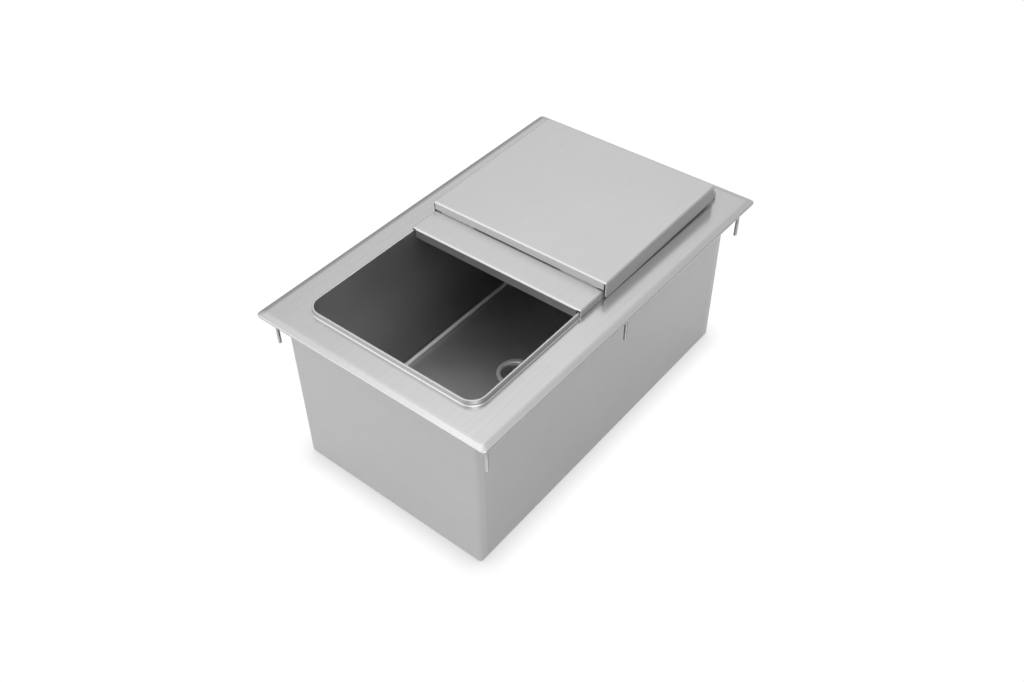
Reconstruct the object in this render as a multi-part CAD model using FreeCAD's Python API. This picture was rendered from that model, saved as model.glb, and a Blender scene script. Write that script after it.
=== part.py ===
import FreeCAD, Part
import math
import os

# Drop-in insulated ice bin: a steel tub in a flanged casing, with a lift-off rear cover and a sliding lid.
# Millimetres. X runs across the bin, Y from the scoop end (minus) to the covered end, Z up.
# The origin is the middle of the underside. The lid is drawn slid back, so the scoop end is open.

V = FreeCAD.Vector

# Sheet metal and clearances
skin = 1.2
weld_gap = 0.1
board_fit = 0.3
rivet_fit = 0.1
slide_gap = 0.2
corner_ease = 0.4
level_tolerance = 0.001

# Tub and its opening
opening_width = 282.0
opening_length = 521.0
opening_corner_r = 20.0
tub_depth = 221.0
cove_r = 12.0
lip_height = 8.0
lip_edge_r = 0.5
lip_root_r = 2.0

# Room for insulation between the tub and the casing
side_room = 16.9
end_room = 20.9
floor_room = 39.2

# Casing
casing_bend_r = 5.0
casing_hem = 14.0
panel_lap = 8.0

# Counter flange
side_overhang = 33.5
end_overhang = 21.8
flange_corner_r = 6.5
edge_run = 9.5
edge_slope = 15.0
edge_ridge_r = 12.0
edge_ridge_corner_r = 3.0
edge_bend_r = 1.8
edge_skirt = 4.0
edge_lean = 20.0

# Hold-down studs under the flange
stud_r = 2.5
stud_length = 57.5
stud_side_inset = 14.5
stud_end_inset = 19.5
stud_foot_r = 3.2
stud_foot_height = 0.8
stud_tip_chamfer = 0.5

# Rivets
rivet_shank_r = 1.6
rivet_head_r = 3.2
rivet_head_height = 1.1
rivet_dome_points = 4
panel_rivets_up = 4
panel_rivets_across = 3
pan_rivets_long = 5
pan_rivets_across = 3

# Floor drain, set a little forward of the middle
drain_y = -10.0
drain_cup_r = 22.0
drain_cup_wall = 1.9
drain_cup_depth = 12.0
drain_cup_floor = 2.5
drain_ring_width = 4.6
drain_ring_height = 1.5
drain_recess_gap = 1.5
drain_neck_bore_r = 14.0
drain_neck_wall = 3.0
drain_neck_length = 7.5
thread_fit = 0.2
gasket_width = 7.1
gasket_height = 2.5
washer_width = 8.1
washer_height = 0.8
locknut_width = 10.1
locknut_height = 6.0
locknut_lugs = 6
locknut_lug_cut = 4.0
drain_well_gap = 6.0

# Drain outlet under the bin
outlet_wall = 3.8
outlet_step = 1.8
outlet_recess = 0.2
grommet_web = 2.5
grommet_lip = 3.0

# Lift-out strainer in the drain cup
strainer_fit = 0.4
strainer_plate = 1.2
strainer_skirt = 6.5
strainer_hole_r = 1.6
strainer_hole_pitch = 6.5
strainer_hole_margin = 4.3
strainer_post_r = 1.8
strainer_knob_r = 3.5
strainer_knob_height = 3.6
strainer_knob_head = 1.8
strainer_knob_round = 0.6

# Rear cover that sits on the lip
cover_length = 332.6
cover_side_gap = 0.5
cover_rear_gap = 12.5
cover_deck_gap = 1.0
cover_pad = 2.4
cover_pad_width = 3.0
cover_pad_inset = 12.0
cover_bend_r = 3.0
cover_front_flange = 14.7
cover_front_inset = 3.0
cover_hat_x = 75.0
cover_hat_depth = 9.5
cover_stop_gap = 1.0
bumper_length = 45.0
bumper_x = 95.0
bumper_gap = 0.3

# Stiffening channels
hat_width = 24.0
hat_foot = 10.0

# Sliding lid
lid_length = 269.0
lid_side_gap = 2.0
lid_rear_setback = 13.6
lid_front_flange = 12.4
lid_deck_gap = 0.3
lid_rear_lift = 4.1
lid_bend_r = 2.6
lid_toe_r = 6.0
lid_corner_slit = 2.0
lid_foot_r = 0.8
lid_return = 10.0
lid_hat_x = 60.0
lid_hat_depth = 7.0
lid_hat_front_gap = 20.0
lid_hat_rear_gap = 22.0
front_glide = 1.6
front_glide_length = 60.0
front_glide_x = 105.0
rear_glide_length = 40.0
rear_glide_width = 12.0
rear_glide_x = 110.0
rear_glide_rivet_pitch = 24.0

# Worked-out heights
pan_top_z = 2 * skin
floor_z = pan_top_z + floor_room + skin
deck_z = floor_z + tub_depth
case_top_z = deck_z - skin
lip_top_z = deck_z + lip_height
cover_under_z = lip_top_z + cover_pad
cover_top_z = cover_under_z + skin
lid_front_z = cover_top_z + slide_gap + front_glide
lid_top_z = lid_front_z + lid_front_flange
lid_foot_z = deck_z + lid_deck_gap
edge_bend_z = deck_z - edge_run * math.tan(math.radians(edge_slope))
skirt_z = edge_bend_z - edge_skirt
drain_seat_z = floor_z - drain_ring_height
drain_under_z = drain_seat_z - skin
gasket_z = drain_under_z - gasket_height
washer_z = gasket_z - washer_height
locknut_z = washer_z - locknut_height
cup_z = floor_z - drain_cup_depth
cup_under_z = cup_z - drain_cup_floor
neck_z = cup_under_z - drain_neck_length

# Worked-out corner radii of the folded sheets
casing_corner_r = casing_bend_r + corner_ease
cover_corner_r = cover_bend_r + corner_ease
lid_corner_r = lid_bend_r + corner_ease

# Worked-out radii of the drain
drain_thread_r = drain_cup_r + drain_cup_wall
drain_hole_r = drain_thread_r + thread_fit
drain_ring_r = drain_thread_r + drain_ring_width
gasket_r = drain_thread_r + gasket_width
washer_r = drain_thread_r + washer_width
locknut_r = drain_thread_r + locknut_width
drain_well_r = locknut_r + drain_well_gap
drain_neck_r = drain_neck_bore_r + drain_neck_wall
socket_r = drain_neck_r + thread_fit
outlet_r = socket_r + outlet_wall
outlet_bore_r = socket_r - outlet_step
pan_hole_r = outlet_r + grommet_web

# Worked-out half widths (x) and half lengths (y)
tub_x = opening_width / 2 + skin
tub_y = opening_length / 2 + skin
lip_x = tub_x + weld_gap + skin
lip_y = tub_y + weld_gap + skin
lip_r = opening_corner_r + 2 * skin + weld_gap
case_x = tub_x + side_room + skin
case_y = tub_y + end_room + skin
flange_x = case_x + side_overhang
flange_y = case_y + end_overhang
hem_x = case_x - casing_hem
hem_y = case_y - casing_hem
pan_x = case_x - casing_bend_r - board_fit
pan_y = case_y - casing_bend_r - board_fit
cover_x = lip_x + cover_side_gap + skin
cover_inner_x = cover_x - skin
cover_pad_x = cover_x - cover_bend_r
cover_front_flange_x = opening_width / 2 - cover_front_inset
cover_rear_y = lip_y + cover_rear_gap + skin
cover_front_y = cover_rear_y - cover_length
lid_x = cover_x + lid_side_gap + skin
lid_rear_y = cover_rear_y - lid_rear_setback
lid_front_y = lid_rear_y - lid_length
lid_tilt = math.degrees(math.asin(lid_rear_lift / lid_length))


def block(x0, x1, y0, y1, z0, z1):
    """Box between two corners."""
    return Part.makeBox(x1 - x0, y1 - y0, z1 - z0, V(x0, y0, z0))


def drum(r, z0, z1, x=0.0, y=0.0):
    """Upright cylinder."""
    return Part.makeCylinder(r, z1 - z0, V(x, y, z0))


def turned(points):
    """Solid turned about Z from (radius, height) points."""
    outline = Part.makePolygon([V(r, 0, z) for r, z in points + points[:1]])
    return Part.Face(outline).revolve(V(0, 0, 0), V(0, 0, 1), 360)


def rounded_block(x0, x1, y0, y1, z0, z1, corner_r):
    """Box with its four upright edges rounded."""
    form = block(x0, x1, y0, y1, z0, z1)
    upright = [edge for edge in form.Edges if edge.BoundBox.ZLength > 0.5 * (z1 - z0)]
    return form.makeFillet(corner_r, upright)


def flat_face(form, z):
    """The largest level face at a height."""
    level = []
    for face in form.Faces:
        box = face.BoundBox
        if max(abs(box.ZMin - z), abs(box.ZMax - z)) < level_tolerance:
            level.append(face)
    return max(level, key=lambda face: face.Area)


def bent_block(x0, x1, y0, y1, z0, z1, corner_r, bend_r, bend_z):
    """Rounded block with the edges at one end rounded too."""
    form = rounded_block(x0, x1, y0, y1, z0, z1, corner_r)
    return form.makeFillet(bend_r, flat_face(form, bend_z).OuterWire.Edges)


def tray(x0, x1, y0, y1, z0, z1, corner_r, bend_r):
    """Sheet pan that is open at the top."""
    outer = bent_block(x0, x1, y0, y1, z0, z1, corner_r, bend_r, z0)
    inner = bent_block(x0 + skin, x1 - skin, y0 + skin, y1 - skin, z0 + skin, z1 + skin,
                       corner_r - skin, bend_r - skin, z0 + skin)
    return outer.cut(inner)


def cap(x0, x1, y0, y1, z0, z1, corner_r, bend_r):
    """Sheet pan that is open at the bottom."""
    outer = bent_block(x0, x1, y0, y1, z0, z1, corner_r, bend_r, z1)
    inner = bent_block(x0 + skin, x1 - skin, y0 + skin, y1 - skin, z0 - skin, z1 - skin,
                       corner_r - skin, bend_r - skin, z1 - skin)
    return outer.cut(inner)


def hat_channel(x, y0, y1, top_z, depth):
    """Stiffening channel along Y, with its two feet against a sheet above it."""
    half = hat_width / 2
    reach = half + hat_foot
    low_z = top_z - depth
    inner = half - skin
    foot_z = top_z - skin
    outline = [(-reach, top_z), (-inner, top_z), (-inner, low_z + skin), (inner, low_z + skin),
               (inner, top_z), (reach, top_z), (reach, foot_z), (half, foot_z),
               (half, low_z), (-half, low_z), (-half, foot_z), (-reach, foot_z)]
    points = [V(x + dx, y0, z) for dx, z in outline]
    return Part.Face(Part.makePolygon(points + points[:1])).extrude(V(0, y1 - y0, 0))


def spread(low, high, count):
    """Evenly spaced places from low to high."""
    return [low + (high - low) * k / (count - 1) for k in range(count)]


def dome_rivet(grip, radial_gap=0.0):
    """Rivet along Z: domed head above zero, shank down through the grip."""
    shank = rivet_shank_r + radial_gap
    dome = [(rivet_head_r * math.sin(angle), rivet_head_height * math.cos(angle))
            for angle in spread(0, math.pi / 2, rivet_dome_points)]
    return turned(dome[:-1] + [(rivet_head_r, 0), (shank, 0), (shank, -grip), (0, -grip)])


def flush_rivet(radial_gap=0.0):
    """Countersunk rivet along Z: flat head at zero, shank up through two sheets."""
    shank = rivet_shank_r + radial_gap
    head = rivet_head_r + radial_gap
    return turned([(0, 0), (head, 0), (shank, skin), (shank, 2 * skin), (0, 2 * skin)])


def save(node, *solids):
    """Write one sub-part: a single solid, or a group of separate ones."""
    shape = Part.makeCompound([solid for form in solids for solid in form.Solids])
    if len(shape.Solids) == 1:
        shape = shape.Solids[0]
    shape.exportStep(os.path.join("parts", node + ".step"))
    print(node, len(shape.Solids), "valid" if shape.isValid() else "INVALID", round(shape.Volume, 1))


def outline(x, y, z, corner_r):
    """Rounded rectangle about the middle, at a height."""
    return flat_face(rounded_block(-x, x, -y, y, z, z + corner_r, corner_r), z).OuterWire


def eased_plate(x, y, z0, z1, corner_r, run, ridge_r, bend_r):
    """Rounded plate whose top slopes down round its edge to a skirt that leans in, with both bends rounded."""
    bend_z = z1 - run * math.tan(math.radians(edge_slope))
    lean = (bend_z - z0) * math.tan(math.radians(edge_lean))
    foot = outline(x - lean, y - lean, z0, corner_r - lean)
    brim = outline(x, y, bend_z, corner_r)
    crown = outline(x - run, y - run, z1, edge_ridge_corner_r)
    plate = Part.makeLoft([foot, brim], True, True).fuse(Part.makeLoft([brim, crown], True, True))
    plate = plate.removeSplitter()
    plate = plate.makeFillet(ridge_r, flat_face(plate, z1).OuterWire.Edges)
    bend = [edge for edge in plate.Edges
            if max(abs(edge.BoundBox.ZMin - bend_z), abs(edge.BoundBox.ZMax - bend_z)) < level_tolerance]
    return plate.makeFillet(bend_r, bend)


def deck_flange():
    """Counter flange with its outer edge eased down to a skirt, and an upstand round the opening."""
    slope = math.radians(edge_slope)
    lean = math.radians(edge_lean)
    inset = skin * (math.sin(slope) + math.cos(lean)) / (1 + math.sin(slope - lean))
    inner_run = edge_run + skin * math.tan(slope / 2) - inset
    deck = eased_plate(flange_x, flange_y, skirt_z, deck_z, flange_corner_r, edge_run, edge_ridge_r, edge_bend_r)
    deck = deck.cut(eased_plate(flange_x - inset, flange_y - inset, skirt_z - skin, case_top_z,
                                flange_corner_r - inset, inner_run, edge_ridge_r - skin, edge_bend_r - skin))
    upstand = rounded_block(-lip_x, lip_x, -lip_y, lip_y, case_top_z, lip_top_z, lip_r)
    hole = rounded_block(-lip_x + skin, lip_x - skin, -lip_y + skin, lip_y - skin,
                         skirt_z, lip_top_z + skin, lip_r - skin)
    deck = deck.fuse(upstand).cut(hole).removeSplitter()
    deck = deck.makeFillet(lip_root_r, flat_face(deck, deck_z).Wires[1].Edges)
    return deck.makeFillet(lip_edge_r, flat_face(deck, lip_top_z).OuterWire.Edges)


def liner_tub():
    """Inner tub with coved floor edges, and a dimple and hole for the drain."""
    tub = tray(-tub_x, tub_x, -tub_y, tub_y, floor_z - skin, lip_top_z,
               opening_corner_r + skin, cove_r + skin)
    dimple_r = drain_ring_r + drain_recess_gap
    tub = tub.fuse(drum(dimple_r + skin, drain_under_z, floor_z - skin / 2, y=drain_y))
    tub = tub.cut(drum(dimple_r, drain_seat_z, floor_z + skin, y=drain_y))
    tub = tub.cut(drum(drain_hole_r, drain_under_z - skin, floor_z, y=drain_y)).removeSplitter()
    return tub.makeFillet(lip_edge_r, flat_face(tub, lip_top_z).Wires[1].Edges)


def panel_rivet_places():
    """Where the rear panel's rivets sit, as (x, z) on the rear face."""
    side_x = hem_x + panel_lap / 2
    low_z = casing_hem - panel_lap / 2
    high_z = case_top_z - casing_hem + panel_lap / 2
    sides = [(x, z) for x in (-side_x, side_x) for z in spread(low_z, high_z, panel_rivets_up)]
    inner = spread(-side_x, side_x, panel_rivets_across + 2)[1:-1]
    return sides + [(x, z) for x in inner for z in (low_z, high_z)]


def on_rear(form, x, z):
    """Turn an upright rivet so that its head points to the rear, and set it on the rear panel."""
    form.rotate(V(0, 0, 0), V(1, 0, 0), -90)
    form.translate(V(x, case_y + skin, z))
    return form


def pan_rivet_places():
    """Where the bottom pan's rivets sit, as (x, y)."""
    row_x = (hem_x + pan_x) / 2
    row_y = (hem_y + pan_y) / 2
    sides = [(x, y) for x in (-row_x, row_x) for y in spread(-row_y, row_y, pan_rivets_long)]
    inner = spread(-row_x, row_x, pan_rivets_across + 2)[1:-1]
    return sides + [(x, y) for x in inner for y in (-row_y, row_y)]


def at(form, x, y, z=0.0):
    """A form moved to a place."""
    form.translate(V(x, y, z))
    return form


def casing():
    """Casing walls with in-turned hems, welded from four panels, by name.

    The end panels turn the corners, and the rear one has a window for insulating the walls.
    """
    wrap = tray(-case_x, case_x, -case_y, case_y, 0, case_top_z, casing_corner_r, casing_bend_r)
    hem = rounded_block(-case_x, case_x, -case_y, case_y, case_top_z - skin, case_top_z, casing_corner_r)
    wrap = wrap.fuse(hem.cut(block(-hem_x, hem_x, -hem_y, hem_y, 0, deck_z)))
    wrap = wrap.cut(block(-hem_x, hem_x, -hem_y, hem_y, -skin, casing_bend_r))
    wrap = wrap.cut(block(-hem_x, hem_x, hem_y, flange_y, casing_hem, case_top_z - casing_hem))
    holes = [on_rear(dome_rivet(3 * skin, rivet_fit), x, z) for x, z in panel_rivet_places()]
    holes += [at(flush_rivet(rivet_fit), x, y) for x, y in pan_rivet_places()]
    wrap = wrap.cut(holes).removeSplitter()
    return {
        "casing_front": wrap.common(block(-flange_x, flange_x, -flange_y, -hem_y, 0, deck_z)),
        "casing_rear": wrap.common(block(-flange_x, flange_x, hem_y, flange_y, 0, deck_z)),
        "casing_left": wrap.common(block(-flange_x, 0, -hem_y, hem_y, 0, deck_z)),
        "casing_right": wrap.common(block(0, flange_x, -hem_y, hem_y, 0, deck_z)),
    }


def rear_panel():
    """Flat panel riveted over the window in the casing's rear wall."""
    edge_x = hem_x + panel_lap
    panel = block(-edge_x, edge_x, case_y, case_y + skin,
                  casing_hem - panel_lap, case_top_z - casing_hem + panel_lap)
    return panel.cut([on_rear(dome_rivet(3 * skin, rivet_fit), x, z) for x, z in panel_rivet_places()])


def bottom_pan():
    """Flat bottom sheet on the casing's hem, with a hole for the drain outlet."""
    sheet = block(-pan_x, pan_x, -pan_y, pan_y, skin, pan_top_z)
    holes = [at(flush_rivet(rivet_fit), x, y) for x, y in pan_rivet_places()]
    return sheet.cut(holes).cut(drum(pan_hole_r, 0, deck_z, y=drain_y))


def insulation():
    """Foam boards round and under the tub, by name."""
    low_z = casing_bend_r
    high_z = case_top_z - skin - board_fit
    near_x = tub_x + board_fit
    far_x = case_x - skin - board_fit
    near_y = tub_y + board_fit
    far_y = case_y - skin - board_fit
    end_x = case_x - casing_corner_r
    floor_board = block(-tub_x, tub_x, -tub_y, tub_y, pan_top_z + board_fit, floor_z - skin - board_fit)
    return {
        "insulation_left": block(-far_x, -near_x, -tub_y, tub_y, low_z, high_z),
        "insulation_right": block(near_x, far_x, -tub_y, tub_y, low_z, high_z),
        "insulation_front": block(-end_x, end_x, -far_y, -near_y, low_z, high_z),
        "insulation_rear": block(-end_x, end_x, near_y, far_y, low_z, high_z),
        "insulation_floor": floor_board.cut(drum(drain_well_r, 0, deck_z, y=drain_y)),
    }


def mounting_studs():
    """Threaded studs welded under the flange: two at each end and two at the middle."""
    x = flange_x - stud_side_inset
    y = flange_y - stud_end_inset
    foot_z = case_top_z - stud_foot_height
    tip_z = case_top_z - stud_length
    stud = turned([(0, case_top_z), (stud_foot_r, case_top_z), (stud_foot_r, foot_z), (stud_r, foot_z),
                   (stud_r, tip_z + stud_tip_chamfer), (stud_r - stud_tip_chamfer, tip_z), (0, tip_z)])
    return [at(stud.copy(), side * x, place) for side in (-1, 1) for place in (-y, 0, y)]


def ring(inner_r, outer_r, z0, z1):
    """Flat ring about the drain's axis."""
    return drum(outer_r, z0, z1).cut(drum(inner_r, z0 - skin, z1 + skin))


def drain_body():
    """Drain fitting: a ring on the tub floor, a strainer cup and a neck."""
    edge = drain_ring_height / 2
    edge_z = floor_z - edge
    return turned([(drain_cup_r + edge, floor_z), (drain_ring_r - edge, floor_z), (drain_ring_r, edge_z),
                   (drain_ring_r, drain_seat_z), (drain_thread_r, drain_seat_z),
                   (drain_thread_r, cup_under_z), (drain_neck_r, cup_under_z), (drain_neck_r, neck_z),
                   (drain_neck_bore_r, neck_z), (drain_neck_bore_r, cup_z),
                   (drain_cup_r, cup_z), (drain_cup_r, edge_z)])


def drain_locknut():
    """Ring nut with notches round its edge for a spanner."""
    nut = ring(drain_hole_r, locknut_r, locknut_z, washer_z)
    half = locknut_lug_cut
    notch = block(locknut_r - half, locknut_r + half, -half, half, locknut_z - skin, washer_z + skin)
    notches = []
    for k in range(locknut_lugs):
        cut = notch.copy()
        cut.rotate(V(0, 0, 0), V(0, 0, 1), 360.0 * k / locknut_lugs)
        notches.append(cut)
    return nut.cut(notches)


def drain_outlet():
    """Socket screwed on the drain's neck, flush with the underside, with a pipe thread's bore."""
    socket = ring(outlet_bore_r, outlet_r, outlet_recess, cup_under_z - weld_gap)
    return socket.cut(drum(socket_r, neck_z - weld_gap, deck_z))


def outlet_grommet():
    """Rubber grommet between the outlet socket and the bottom pan."""
    inner = outlet_r + weld_gap
    groove = pan_hole_r - weld_gap
    lip = groove + grommet_lip
    under_z = skin - weld_gap
    over_z = pan_top_z + weld_gap
    low_z = weld_gap
    high_z = over_z + under_z - low_z
    return turned([(inner, low_z), (lip, low_z), (lip, under_z), (groove, under_z),
                   (groove, over_z), (lip, over_z), (lip, high_z), (inner, high_z)])


def strainer_hole_places(ring_r):
    """Rings of holes from the outermost ring in to the knob, as (x, y)."""
    places = []
    while ring_r > strainer_knob_r + strainer_hole_r:
        count = int(2 * math.pi * ring_r / strainer_hole_pitch)
        for angle in spread(0, 2 * math.pi, count + 1)[1:]:
            places.append((ring_r * math.cos(angle), ring_r * math.sin(angle)))
        ring_r -= strainer_hole_pitch
    return places


def drain_strainer():
    """Perforated plate on a skirt that stands in the drain cup, lifted out by a small knob."""
    rim_r = drain_cup_r - strainer_fit
    inner_r = rim_r - strainer_plate
    low_z = cup_z + strainer_fit / 2
    plate_z = low_z + strainer_skirt
    top_z = plate_z + strainer_plate
    cup = ring(inner_r, rim_r, low_z, top_z).fuse(drum(rim_r, plate_z, top_z))
    holes = [drum(strainer_hole_r, plate_z - skin, top_z + skin, x, y)
             for x, y in strainer_hole_places(inner_r - strainer_hole_margin - strainer_hole_r)]
    knob_z = top_z + strainer_knob_height
    head_z = knob_z - strainer_knob_head
    knob = turned([(0, plate_z), (strainer_post_r, plate_z), (strainer_post_r, head_z),
                   (strainer_knob_r, head_z), (strainer_knob_r, knob_z - strainer_knob_round),
                   (strainer_knob_r - strainer_knob_round, knob_z), (0, knob_z)])
    return cup.cut(holes).fuse(knob).removeSplitter()


def rear_cover():
    """Folded cover: side and rear flanges outside the lip, front flange hanging inside the opening."""
    cover = cap(-cover_x, cover_x, cover_front_y, cover_rear_y, deck_z + cover_deck_gap, cover_top_z,
                cover_corner_r, cover_bend_r)
    for side in (-1, 1):
        ends = sorted((side * cover_front_flange_x, side * cover_inner_x))
        cover = cover.cut(block(ends[0], ends[1], cover_front_y - skin,
                                cover_front_y + cover_corner_r + skin, deck_z, cover_under_z))
    flange = block(-cover_front_flange_x, cover_front_flange_x, cover_front_y, cover_front_y + skin,
                   cover_top_z - cover_front_flange, cover_top_z - cover_bend_r)
    return cover.fuse(flange).removeSplitter()


def cover_hat(side):
    """Stiffening channel under the cover; its rear end stops against the lip."""
    front_y = cover_front_y + skin + cover_bend_r
    rear_y = opening_length / 2 - cover_stop_gap
    return hat_channel(side * cover_hat_x, front_y, rear_y, cover_under_z, cover_hat_depth)


def cover_pads():
    """Slip strips under the cover's two sides, where it sits on the lip."""
    half = cover_pad_width / 2
    middle_x = cover_pad_x - half
    y0 = cover_front_y + cover_pad_inset
    y1 = opening_length / 2 - opening_corner_r
    return [block(x - half, x + half, y0, y1, lip_top_z, cover_under_z) for x in (-middle_x, middle_x)]


def cover_bumpers():
    """Rubber blocks between the cover's rear flange and the lip."""
    half = bumper_length / 2
    low_z = deck_z + lip_root_r + bumper_gap
    high_z = cover_under_z - cover_bend_r
    return [block(x - half, x + half, lip_y + bumper_gap, cover_rear_y - skin, low_z, high_z)
            for x in (-bumper_x, bumper_x)]


def tilted(form):
    """Pitch a lid piece about the lid's front foot, rear up."""
    form.rotate(V(0, lid_front_y, lid_foot_z), V(1, 0, 0), lid_tilt)
    return form


def glide_rivet_places():
    """Where the rear glides' rivets sit on the level lid, as (x, z)."""
    z = lid_front_z + (lid_front_flange - lid_bend_r) / 2
    half = rear_glide_rivet_pitch / 2
    return [(x + step, z) for x in (-rear_glide_x, rear_glide_x) for step in (-half, half)]


def glide_rivet(x, z, radial_gap=0.0):
    """Rivet through the lid's rear flange, head to the rear, on the level lid."""
    rivet = dome_rivet(skin + rear_glide_width / 2, radial_gap)
    rivet.rotate(V(0, 0, 0), V(1, 0, 0), -90)
    return at(rivet, x, lid_rear_y, z)


def sliding_lid():
    """Folded lid: long side flanges outside the cover's, short front and rear flanges above it."""
    lid = cap(-lid_x, lid_x, lid_front_y, lid_rear_y, lid_foot_z, lid_top_z, lid_corner_r, lid_bend_r)
    inner_x = lid_x - skin
    lid = lid.cut(block(-inner_x, inner_x, lid_front_y - skin, lid_rear_y + skin, deck_z, lid_front_z))
    toe_y = lid_front_y + lid_toe_r
    toe_z = lid_foot_z + lid_toe_r
    toe = block(-lid_x, lid_x, lid_front_y - skin, toe_y, deck_z, toe_z)
    toe = toe.cut(Part.makeCylinder(lid_toe_r, 2 * lid_x, V(-lid_x, toe_y, toe_z), V(1, 0, 0)))
    return_x = inner_x - lid_corner_r
    front_return = block(-return_x, return_x, lid_front_y + skin / 2, lid_front_y + lid_return,
                         lid_front_z, lid_front_z + skin)
    lid = lid.cut(toe).fuse(front_return)
    for x in (-inner_x, inner_x - lid_corner_slit):
        lid = lid.cut(block(x, x + lid_corner_slit, lid_front_y - skin, lid_front_y + lid_corner_r,
                            deck_z, lid_top_z - lid_bend_r))
    lid = lid.cut([glide_rivet(x, z, rivet_fit) for x, z in glide_rivet_places()]).removeSplitter()
    feet = []
    for edge in lid.Edges:
        box = edge.BoundBox
        if box.ZMax - lid_foot_z < level_tolerance and max(abs(box.XMin), abs(box.XMax)) > lid_x - level_tolerance:
            if box.XLength < level_tolerance:
                feet.append(edge)
    return tilted(lid.makeFillet(lid_foot_r, feet))


def lid_hat(side):
    """Stiffening channel under the lid."""
    front_y = lid_front_y + lid_hat_front_gap
    rear_y = lid_rear_y - lid_hat_rear_gap
    return tilted(hat_channel(side * lid_hat_x, front_y, rear_y, lid_top_z - skin, lid_hat_depth))


def lid_front_glides():
    """Slip strips under the lid's front return, which run on the cover."""
    half = front_glide_length / 2
    return [tilted(block(x - half, x + half, lid_front_y + skin, lid_front_y + lid_return,
                         lid_front_z - front_glide, lid_front_z))
            for x in (-front_glide_x, front_glide_x)]


def lid_rear_glides():
    """Blocks inside the lid's rear flange, cut level where they run on the cover."""
    half = rear_glide_length / 2
    face_y = lid_rear_y - skin
    run_z = cover_top_z + slide_gap
    rail = block(-lid_x, lid_x, cover_front_y, cover_rear_y, floor_z, run_z)
    glides = []
    for x in (-rear_glide_x, rear_glide_x):
        glide = block(x - half, x + half, face_y - rear_glide_width, face_y, deck_z, lid_top_z - lid_bend_r)
        glide = glide.cut([glide_rivet(place, z, rivet_fit) for place, z in glide_rivet_places()])
        glides.append(tilted(glide).cut(rail))
    return glides


def main():
    os.makedirs("parts", exist_ok=True)
    save("deck_flange", deck_flange())
    save("liner_tub", liner_tub())
    for node, panel in casing().items():
        save(node, panel)
    save("rear_panel", rear_panel())
    save("rear_panel_rivets", *[on_rear(dome_rivet(2 * skin), x, z) for x, z in panel_rivet_places()])
    save("bottom_pan", bottom_pan())
    save("bottom_pan_rivets", *[at(flush_rivet(), x, y) for x, y in pan_rivet_places()])
    for node, board in insulation().items():
        save(node, board)
    save("mounting_studs", *mounting_studs())
    save("drain_body", at(drain_body(), 0, drain_y))
    save("drain_gasket", at(ring(drain_hole_r, gasket_r, gasket_z, drain_under_z), 0, drain_y))
    save("drain_washer", at(ring(drain_hole_r, washer_r, washer_z, gasket_z), 0, drain_y))
    save("drain_locknut", at(drain_locknut(), 0, drain_y))
    save("drain_outlet", at(drain_outlet(), 0, drain_y))
    save("outlet_grommet", at(outlet_grommet(), 0, drain_y))
    save("drain_strainer", at(drain_strainer(), 0, drain_y))
    save("rear_cover", rear_cover())
    save("cover_stiffener_left", cover_hat(-1))
    save("cover_stiffener_right", cover_hat(1))
    save("cover_pads", *cover_pads())
    save("cover_bumpers", *cover_bumpers())
    save("sliding_lid", sliding_lid())
    save("lid_stiffener_left", lid_hat(-1))
    save("lid_stiffener_right", lid_hat(1))
    save("lid_front_glides", *lid_front_glides())
    save("lid_rear_glides", *lid_rear_glides())
    save("lid_glide_rivets", *[tilted(glide_rivet(x, z)) for x, z in glide_rivet_places()])


main()
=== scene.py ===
import math

import bmesh
import bpy
from mathutils import Matrix, Vector


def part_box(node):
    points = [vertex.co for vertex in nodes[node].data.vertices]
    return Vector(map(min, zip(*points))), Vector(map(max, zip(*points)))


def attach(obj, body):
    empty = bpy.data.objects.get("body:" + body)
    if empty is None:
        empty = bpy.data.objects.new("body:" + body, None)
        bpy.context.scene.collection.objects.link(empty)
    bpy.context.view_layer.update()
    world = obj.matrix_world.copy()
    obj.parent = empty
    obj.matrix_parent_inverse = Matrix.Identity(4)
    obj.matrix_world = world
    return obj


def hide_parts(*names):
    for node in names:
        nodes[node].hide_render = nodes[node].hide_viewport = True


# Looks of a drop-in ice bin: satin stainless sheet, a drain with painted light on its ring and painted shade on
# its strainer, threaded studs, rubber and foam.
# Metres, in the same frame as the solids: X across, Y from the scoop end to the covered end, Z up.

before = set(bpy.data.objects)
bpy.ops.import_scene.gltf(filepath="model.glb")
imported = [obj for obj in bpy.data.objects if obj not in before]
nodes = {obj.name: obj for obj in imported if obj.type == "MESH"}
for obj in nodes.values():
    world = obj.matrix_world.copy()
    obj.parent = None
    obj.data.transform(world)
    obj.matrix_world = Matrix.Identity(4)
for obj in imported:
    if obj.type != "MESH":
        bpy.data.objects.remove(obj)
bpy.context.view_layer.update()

# Camera: the photograph's view of the flange's middle
image_width = 1024
image_height = 682
focal_pixels = 1068.79
sensor_width = 36.0
view_azimuth = math.radians(40.892)
view_elevation = math.radians(43.022)
view_roll = -0.03475
view_distance = 1.46154
view_shift = (-0.04080, -0.11587)
view_middle = (488.5, 339.4)
view_target_z = 0.2614

# Light: a white room that is darker to the right, and brighter overhead and along a soft band over the bin's
# left side. Soft lights stand at the front left, low and high, and a key light high at the front right. The far
# left is shaded.
room_level = 0.78
room_dark = 0.35
room_turn = (0.3, 0.75)
top_level = 0.5
top_turn = (0.78, 1.0)
band_x = -0.44
band_spread = 0.17
band_level = 1.9
band_low = 0.40
front_direction = (-0.65, -0.76, 0.0)
front_level = 1.35
front_power = 6.0
high_direction = (-0.40, -0.55, 0.73)
high_level = 0.5
high_power = 10.0
key_direction = (0.45, -0.30, 0.84)
key_level = 4.7
key_power = 20.0
far_shade = (-0.82, 0.56, 0.08)
far_shade_level = -0.6
far_shade_power = 18.0
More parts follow.
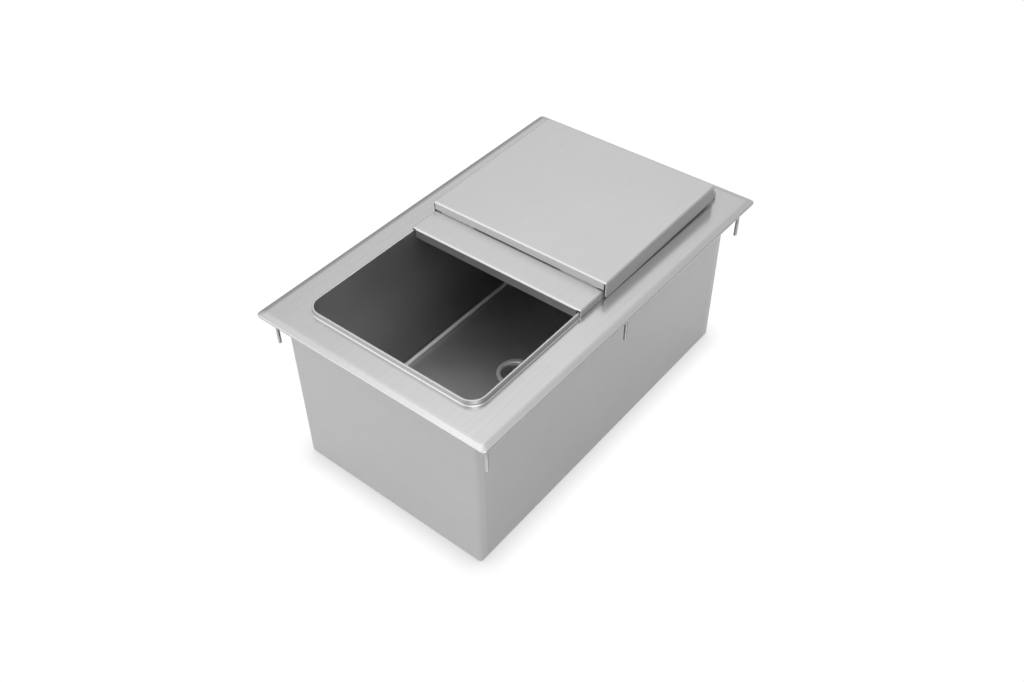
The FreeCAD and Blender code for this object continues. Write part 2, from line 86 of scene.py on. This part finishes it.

# Stage: a white floor with a painted contact shadow that dims it close to the bin, a greyer floor that lights
# the bin, and a white dome
floor_size = 12.0
floor_glow = (0.48, 1.02)
contact_shadow_reach = 0.034
lit_grey = 0.49
lit_glow = 0.24
floor_step = 0.0005
dome_rounds = 4

# Brushed sheet: streaks across and along the grain, which runs along X or Y, and faint smudges
grain_across = 0
grain_along = 1
sheet_metallic = 0.85
brush_scale = 900.0
brush_length_scale = 12.0
brush_detail = 3.0
brush_change = 0.025
smudge_scale = 9.0
smudge_change = 0.03
noise_detail = 4.0

# Tub: painted shade on its walls, set by the upward slope of the surface and darker towards the bottom, and a
# painted highlight along its coved edges
wall_painted_shade = (0.42, 0.80)
wall_shade_rise = (0.06, 0.20)
shade_floor_turn = (0.85, 0.98)
cove_painted_highlight = 1.1
cove_rough = 0.2
cove_highlight_start = (0.40, 0.60)
cove_highlight_end = (0.75, 0.92)

# Threaded studs
stud_r = 0.0025
stud_foot_r = 0.0032
stud_foot_height = 0.0008
stud_tip = 0.0005
thread_pitch = 0.0008
thread_depth = 0.0005
thread_sides = 14
thread_rows = 4


def place_camera():
    """Camera at the photograph's viewing angle."""
    back = Vector((math.sin(view_azimuth) * math.cos(view_elevation),
                   -math.cos(view_azimuth) * math.cos(view_elevation), math.sin(view_elevation)))
    level = Vector((math.cos(view_azimuth), math.sin(view_azimuth), 0))
    upright = back.cross(level)
    right = math.cos(view_roll) * level + math.sin(view_roll) * upright
    up = back.cross(right)
    data = bpy.data.cameras.new("camera")
    data.sensor_width = sensor_width
    data.lens = sensor_width * focal_pixels / image_width
    data.shift_x = (image_width / 2 - view_middle[0]) / image_width
    data.shift_y = (view_middle[1] - image_height / 2) / image_width
    camera = bpy.data.objects.new("camera", data)
    bpy.context.scene.collection.objects.link(camera)
    eye = Vector((0, 0, view_target_z)) + view_shift[0] * right + view_shift[1] * up + view_distance * back
    camera.matrix_world = Matrix.Translation(eye) @ Matrix((right, up, back)).transposed().to_4x4()
    bpy.context.scene.camera = camera


def number(tree, operation, *values):
    """Arithmetic on sockets and plain numbers."""
    node = tree.nodes.new("ShaderNodeMath")
    node.operation = operation
    for socket, value in zip(node.inputs, values):
        if isinstance(value, float):
            socket.default_value = value
        else:
            tree.links.new(value, socket)
    return node.outputs[0]


def spanned(tree, source, low, high, start=0.3, end=0.7):
    """A value spread smoothly over a range; a noise value by default."""
    span = tree.nodes.new("ShaderNodeMapRange")
    span.interpolation_type = "SMOOTHSTEP"
    span.inputs["From Min"].default_value = start
    span.inputs["From Max"].default_value = end
    span.inputs["To Min"].default_value = low
    span.inputs["To Max"].default_value = high
    tree.links.new(source, span.inputs["Value"])
    return span.outputs["Result"]


def lobe(tree, place, direction, power, level):
    """Soft round light in one direction of the sky."""
    towards = tree.nodes.new("ShaderNodeVectorMath")
    towards.operation = "DOT_PRODUCT"
    towards.inputs[1].default_value = direction
    tree.links.new(place, towards.inputs[0])
    facing = number(tree, "MAXIMUM", towards.outputs["Value"], 0.0)
    return number(tree, "MULTIPLY", number(tree, "POWER", facing, power), level)


def light_room():
    """World light: the room, its band and overhead light, and lights and shades in single directions."""
    world = bpy.data.worlds.new("room")
    bpy.context.scene.world = world
    world.use_nodes = True
    tree = world.node_tree
    background = tree.nodes["Background"]
    background.inputs["Color"].default_value = (1, 1, 1, 1)
    place = tree.nodes.new("ShaderNodeTexCoord")
    parts = tree.nodes.new("ShaderNodeSeparateXYZ")
    tree.links.new(place.outputs["Generated"], parts.inputs[0])
    aside = number(tree, "DIVIDE", number(tree, "SUBTRACT", parts.outputs["X"], band_x), band_spread)
    aside_square = number(tree, "MULTIPLY", aside, aside)
    across = number(tree, "EXPONENT", number(tree, "MULTIPLY", aside_square, -1.0))
    height = number(tree, "MAXIMUM", number(tree, "SUBTRACT", parts.outputs["Z"], band_low), 0.0)
    band = number(tree, "MULTIPLY", across, number(tree, "MULTIPLY", height, band_level))
    total = spanned(tree, parts.outputs["X"], room_level, room_dark, *room_turn)
    direction = place.outputs["Generated"]
    for light in (band, spanned(tree, parts.outputs["Z"], 0.0, top_level, *top_turn),
                  lobe(tree, direction, front_direction, front_power, front_level),
                  lobe(tree, direction, high_direction, high_power, high_level),
                  lobe(tree, direction, key_direction, key_power, key_level),
                  lobe(tree, direction, far_shade, far_shade_power, far_shade_level)):
        total = number(tree, "ADD", total, light)
    tree.links.new(number(tree, "MAXIMUM", total, 0.0), background.inputs["Strength"])


def plain(name, colour, roughness, metallic=0.0):
    """Material of one even colour."""
    material = bpy.data.materials.new(name)
    material.use_nodes = True
    shader = material.node_tree.nodes["Principled BSDF"]
    shader.inputs["Base Color"].default_value = (*colour, 1)
    shader.inputs["Roughness"].default_value = roughness
    shader.inputs["Metallic"].default_value = metallic
    return material


def staged(name, grey):
    """Empty piece of the stage, without gloss, that can glow white."""
    mesh = bpy.data.meshes.new(name)
    piece = bpy.data.objects.new(name, mesh)
    bpy.context.scene.collection.objects.link(piece)
    material = plain(name, (grey, grey, grey), 1.0)
    shader = material.node_tree.nodes["Principled BSDF"]
    shader.inputs["Specular IOR Level"].default_value = 0.0
    shader.inputs["Emission Color"].default_value = (1, 1, 1, 1)
    mesh.materials.append(material)
    return piece, material.node_tree, shader.inputs["Emission Strength"]


def only_seen(piece):
    """Let a piece of the stage show without lighting or shading anything."""
    piece.visible_glossy = False
    piece.visible_diffuse = False
    piece.visible_shadow = False


def lay_floor(mesh, z):
    """Make a mesh a flat square floor."""
    half = floor_size / 2
    corners = [(-half, -half, z), (half, -half, z), (half, half, z), (-half, half, z)]
    mesh.from_pydata(corners, [], [(0, 1, 2, 3)])


def set_stage():
    """A floor that is seen, over one that lights the bin and shows in it, and a backdrop all round."""
    low, high = floor_glow
    seen, tree, strength = staged("floor_seen", 0.0)
    lay_floor(seen.data, 0.0)
    only_seen(seen)
    # painted contact shadow: the seen floor's glow dims where ambient occlusion finds the bin close by
    contact_shadow = tree.nodes.new("ShaderNodeAmbientOcclusion")
    contact_shadow.inputs["Distance"].default_value = contact_shadow_reach
    rise = number(tree, "MULTIPLY", contact_shadow.outputs["AO"], high - low)
    tree.links.new(number(tree, "ADD", rise, low), strength)
    lit, tree, strength = staged("floor_lit", lit_grey)
    lay_floor(lit.data, -floor_step)
    lit.visible_camera = False
    strength.default_value = lit_glow
    dome, tree, strength = staged("backdrop", 0.0)
    ball = bmesh.new()
    bmesh.ops.create_icosphere(ball, subdivisions=dome_rounds, radius=floor_size)
    ball.to_mesh(dome.data)
    ball.free()
    only_seen(dome)
    strength.default_value = high


def streaks(tree, scale, detail):
    """Noise in the piece's own coordinates, stretched by a scale along each axis."""
    place = tree.nodes.new("ShaderNodeTexCoord")
    stretch = tree.nodes.new("ShaderNodeMapping")
    stretch.inputs["Scale"].default_value = scale
    noise = tree.nodes.new("ShaderNodeTexNoise")
    noise.inputs["Scale"].default_value = 1.0
    noise.inputs["Detail"].default_value = detail
    tree.links.new(place.outputs["Object"], stretch.inputs["Vector"])
    tree.links.new(stretch.outputs["Vector"], noise.inputs["Vector"])
    return noise.outputs["Fac"]


def brushed(name, grey, roughness, grain, metallic=1.0):
    """Satin sheet brushed along one axis, with fine streaks and faint smudges."""
    material = plain(name, (grey, grey, grey), roughness, metallic)
    tree = material.node_tree
    shader = tree.nodes["Principled BSDF"]
    fine = [brush_scale, brush_scale, brush_scale]
    fine[grain] = brush_length_scale
    brush = streaks(tree, fine, brush_detail)
    smudge = streaks(tree, (smudge_scale, smudge_scale, smudge_scale), noise_detail)
    tone = tree.nodes.new("ShaderNodeMix")
    tone.data_type = "RGBA"
    for end, share in (("A", 1 - brush_change), ("B", 1 + brush_change)):
        tone.inputs[end].default_value = (grey * share, grey * share, grey * share, 1)
    tree.links.new(spanned(tree, brush, 0.0, 1.0), tone.inputs["Factor"])
    tree.links.new(tone.outputs["Result"], shader.inputs["Base Color"])
    uneven = spanned(tree, smudge, roughness - smudge_change, roughness + smudge_change)
    tree.links.new(uneven, shader.inputs["Roughness"])
    return material


def paint_tub_shade_and_highlight(material):
    """Paint shade on a tub's walls, darker than its floor and darker towards the bottom, and a painted
    highlight along its coved edges, which are also made rougher.
    """
    tree = material.node_tree
    colour = tree.nodes["Principled BSDF"].inputs["Base Color"]
    roughness = tree.nodes["Principled BSDF"].inputs["Roughness"]
    place = tree.nodes.new("ShaderNodeTexCoord")
    parts = tree.nodes.new("ShaderNodeSeparateXYZ")
    tree.links.new(place.outputs["Normal"], parts.inputs[0])
    up = parts.outputs["Z"]
    height = tree.nodes.new("ShaderNodeSeparateXYZ")
    tree.links.new(place.outputs["Object"], height.inputs[0])
    # painted shade: the walls darker than the floor, and darker towards the bottom
    wall = spanned(tree, height.outputs["Z"], *wall_painted_shade, *wall_shade_rise)
    flat = spanned(tree, up, 0.0, 1.0, *shade_floor_turn)
    level = number(tree, "ADD", flat, number(tree, "MULTIPLY", wall, number(tree, "SUBTRACT", 1.0, flat)))
    # painted highlight along the coved edges between the walls and the floor
    above_wall = spanned(tree, up, 0.0, 1.0, *cove_highlight_start)
    below_floor = spanned(tree, up, 1.0, 0.0, *cove_highlight_end)
    cove_highlight = number(tree, "MULTIPLY", above_wall, below_floor)
    uneven = roughness.links[0].from_socket
    tree.links.new(number(tree, "MULTIPLY_ADD", cove_highlight, cove_rough, uneven), roughness)
    tone = tree.nodes.new("ShaderNodeVectorMath")
    tone.operation = "SCALE"
    tree.links.new(colour.links[0].from_socket, tone.inputs[0])
    tree.links.new(number(tree, "MULTIPLY_ADD", cove_highlight, cove_painted_highlight, level), tone.inputs["Scale"])
    tree.links.new(tone.outputs["Vector"], colour)
    return material


def mottled(name, colour, roughness, scale, change, depth):
    """Material with fine uneven spots in its tone and its surface."""
    material = plain(name, colour, roughness)
    tree = material.node_tree
    shader = tree.nodes["Principled BSDF"]
    spots = streaks(tree, (scale, scale, scale), noise_detail)
    tone = tree.nodes.new("ShaderNodeMix")
    tone.data_type = "RGBA"
    tone.inputs["A"].default_value = (*[value * (1 - change) for value in colour], 1)
    tone.inputs["B"].default_value = (*[value * (1 + change) for value in colour], 1)
    tree.links.new(spanned(tree, spots, 0.0, 1.0), tone.inputs["Factor"])
    tree.links.new(tone.outputs["Result"], shader.inputs["Base Color"])
    bump = tree.nodes.new("ShaderNodeBump")
    bump.inputs["Distance"].default_value = depth
    tree.links.new(spots, bump.inputs["Height"])
    tree.links.new(bump.outputs["Normal"], shader.inputs["Normal"])
    return material


def stud_rings(low_z, high_z):
    """Rings of a threaded stud from its welded foot to its tip: the height of each, and its radii all round."""
    turns = [side / thread_sides for side in range(thread_sides)]
    rise = thread_pitch / thread_rows
    rings = [(z, [stud_foot_r for turn in turns]) for z in (high_z, high_z - stud_foot_height)]
    for row in range(1, int((high_z - low_z - stud_foot_height - stud_tip) / rise)):
        start = row / thread_rows
        flank = [stud_r - thread_depth * abs(2 * ((start + turn) % 1.0) - 1) for turn in turns]
        rings.append((high_z - stud_foot_height - row * rise, flank))
    rings.append((low_z, [stud_r - stud_tip for turn in turns]))
    return rings


def thread_studs(material):
    """Threaded studs in place of the plain ones, each a stack of rings."""
    low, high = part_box("mounting_studs")
    rings = stud_rings(low.z, high.z)
    corners, faces = [], []
    for x in (low.x + stud_foot_r, high.x - stud_foot_r):
        for y in (low.y + stud_foot_r, 0.0, high.y - stud_foot_r):
            first = len(corners)
            for z, radii in rings:
                for side, radius in enumerate(radii):
                    angle = 2 * math.pi * (side / thread_sides)
                    corners.append((x + radius * math.cos(angle), y + radius * math.sin(angle), z))
            faces.append([first + side for side in range(thread_sides)])
            for row in range(len(rings) - 1):
                base = first + row * thread_sides
                under = base + thread_sides
                for side in range(thread_sides):
                    after = (side + 1) % thread_sides
                    faces.append([base + side, under + side, under + after, base + after])
            faces.append([under + thread_sides - 1 - side for side in range(thread_sides)])
    mesh = bpy.data.meshes.new("studs_threaded")
    mesh.from_pydata(corners, [], faces)
    mesh.materials.append(material)
    studs = bpy.data.objects.new("studs_threaded", mesh)
    bpy.context.scene.collection.objects.link(studs)
    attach(studs, "bin")
    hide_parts("mounting_studs")


def dress(material, *names):
    """Give CAD nodes a material."""
    for name in names:
        mesh = nodes[name].data
        mesh.materials.clear()
        mesh.materials.append(material)


bpy.context.scene.view_settings.view_transform = "Standard"
place_camera()
light_room()
set_stage()

deck_steel = brushed("steel_along", grey=0.5, roughness=0.24, grain=grain_along, metallic=sheet_metallic)
# lid and cover steel a touch lighter than the deck's, as painted light
lid_steel_painted_light = brushed("steel_lid_painted_light", grey=0.53, roughness=0.34, grain=grain_along, metallic=sheet_metallic)
# casing front and rear a touch lighter as painted light, and its sides darker as painted shade
end_steel_painted_light = brushed("steel_across_painted_light", grey=0.52, roughness=0.38, grain=grain_across, metallic=sheet_metallic)
side_steel_painted_shade = brushed("steel_side_painted_shade", grey=0.48, roughness=0.38, grain=grain_along, metallic=sheet_metallic)
# tub steel with painted shade on its walls and a painted highlight along its coves
tub_steel_painted_shade = paint_tub_shade_and_highlight(brushed("tub_steel_painted_shade", grey=0.62, roughness=0.52, grain=grain_along))
# drain steel made lighter as painted light on its ring, and the strainer darker as painted shade inside the
# drain's cup
drain_steel = plain("drain_steel", (0.90, 0.90, 0.90), roughness=0.62, metallic=1.0)
strainer_steel_painted_shade = plain("strainer_steel_painted_shade", (0.40, 0.40, 0.41), roughness=0.50, metallic=1.0)
stud_steel = plain("stud_steel", (0.42, 0.42, 0.43), roughness=0.42, metallic=1.0)
rivet_steel = plain("rivet_steel", (0.58, 0.58, 0.59), roughness=0.3, metallic=1.0)
foam = mottled("foam", (0.78, 0.72, 0.55), roughness=0.9, scale=420.0, change=0.10, depth=0.0006)
rubber = mottled("rubber", (0.03, 0.03, 0.03), roughness=0.7, scale=600.0, change=0.25, depth=0.0002)
nylon = mottled("nylon", (0.82, 0.82, 0.80), roughness=0.5, scale=300.0, change=0.03, depth=0.0001)

dress(side_steel_painted_shade, "casing_left", "casing_right")
dress(lid_steel_painted_light, "rear_cover", "sliding_lid")
dress(deck_steel, "deck_flange", "bottom_pan", "cover_stiffener_left", "cover_stiffener_right",
      "lid_stiffener_left", "lid_stiffener_right")
dress(end_steel_painted_light, "casing_front", "casing_rear", "rear_panel")
dress(tub_steel_painted_shade, "liner_tub")
dress(drain_steel, "drain_body", "drain_washer", "drain_locknut", "drain_outlet")
dress(strainer_steel_painted_shade, "drain_strainer")
dress(stud_steel, "mounting_studs")
thread_studs(stud_steel)
dress(rivet_steel, "rear_panel_rivets", "bottom_pan_rivets", "lid_glide_rivets")
dress(foam, "insulation_left", "insulation_right", "insulation_front", "insulation_rear",
      "insulation_floor")
dress(rubber, "drain_gasket", "outlet_grommet", "cover_bumpers")
dress(nylon, "cover_pads", "lid_front_glides", "lid_rear_glides")
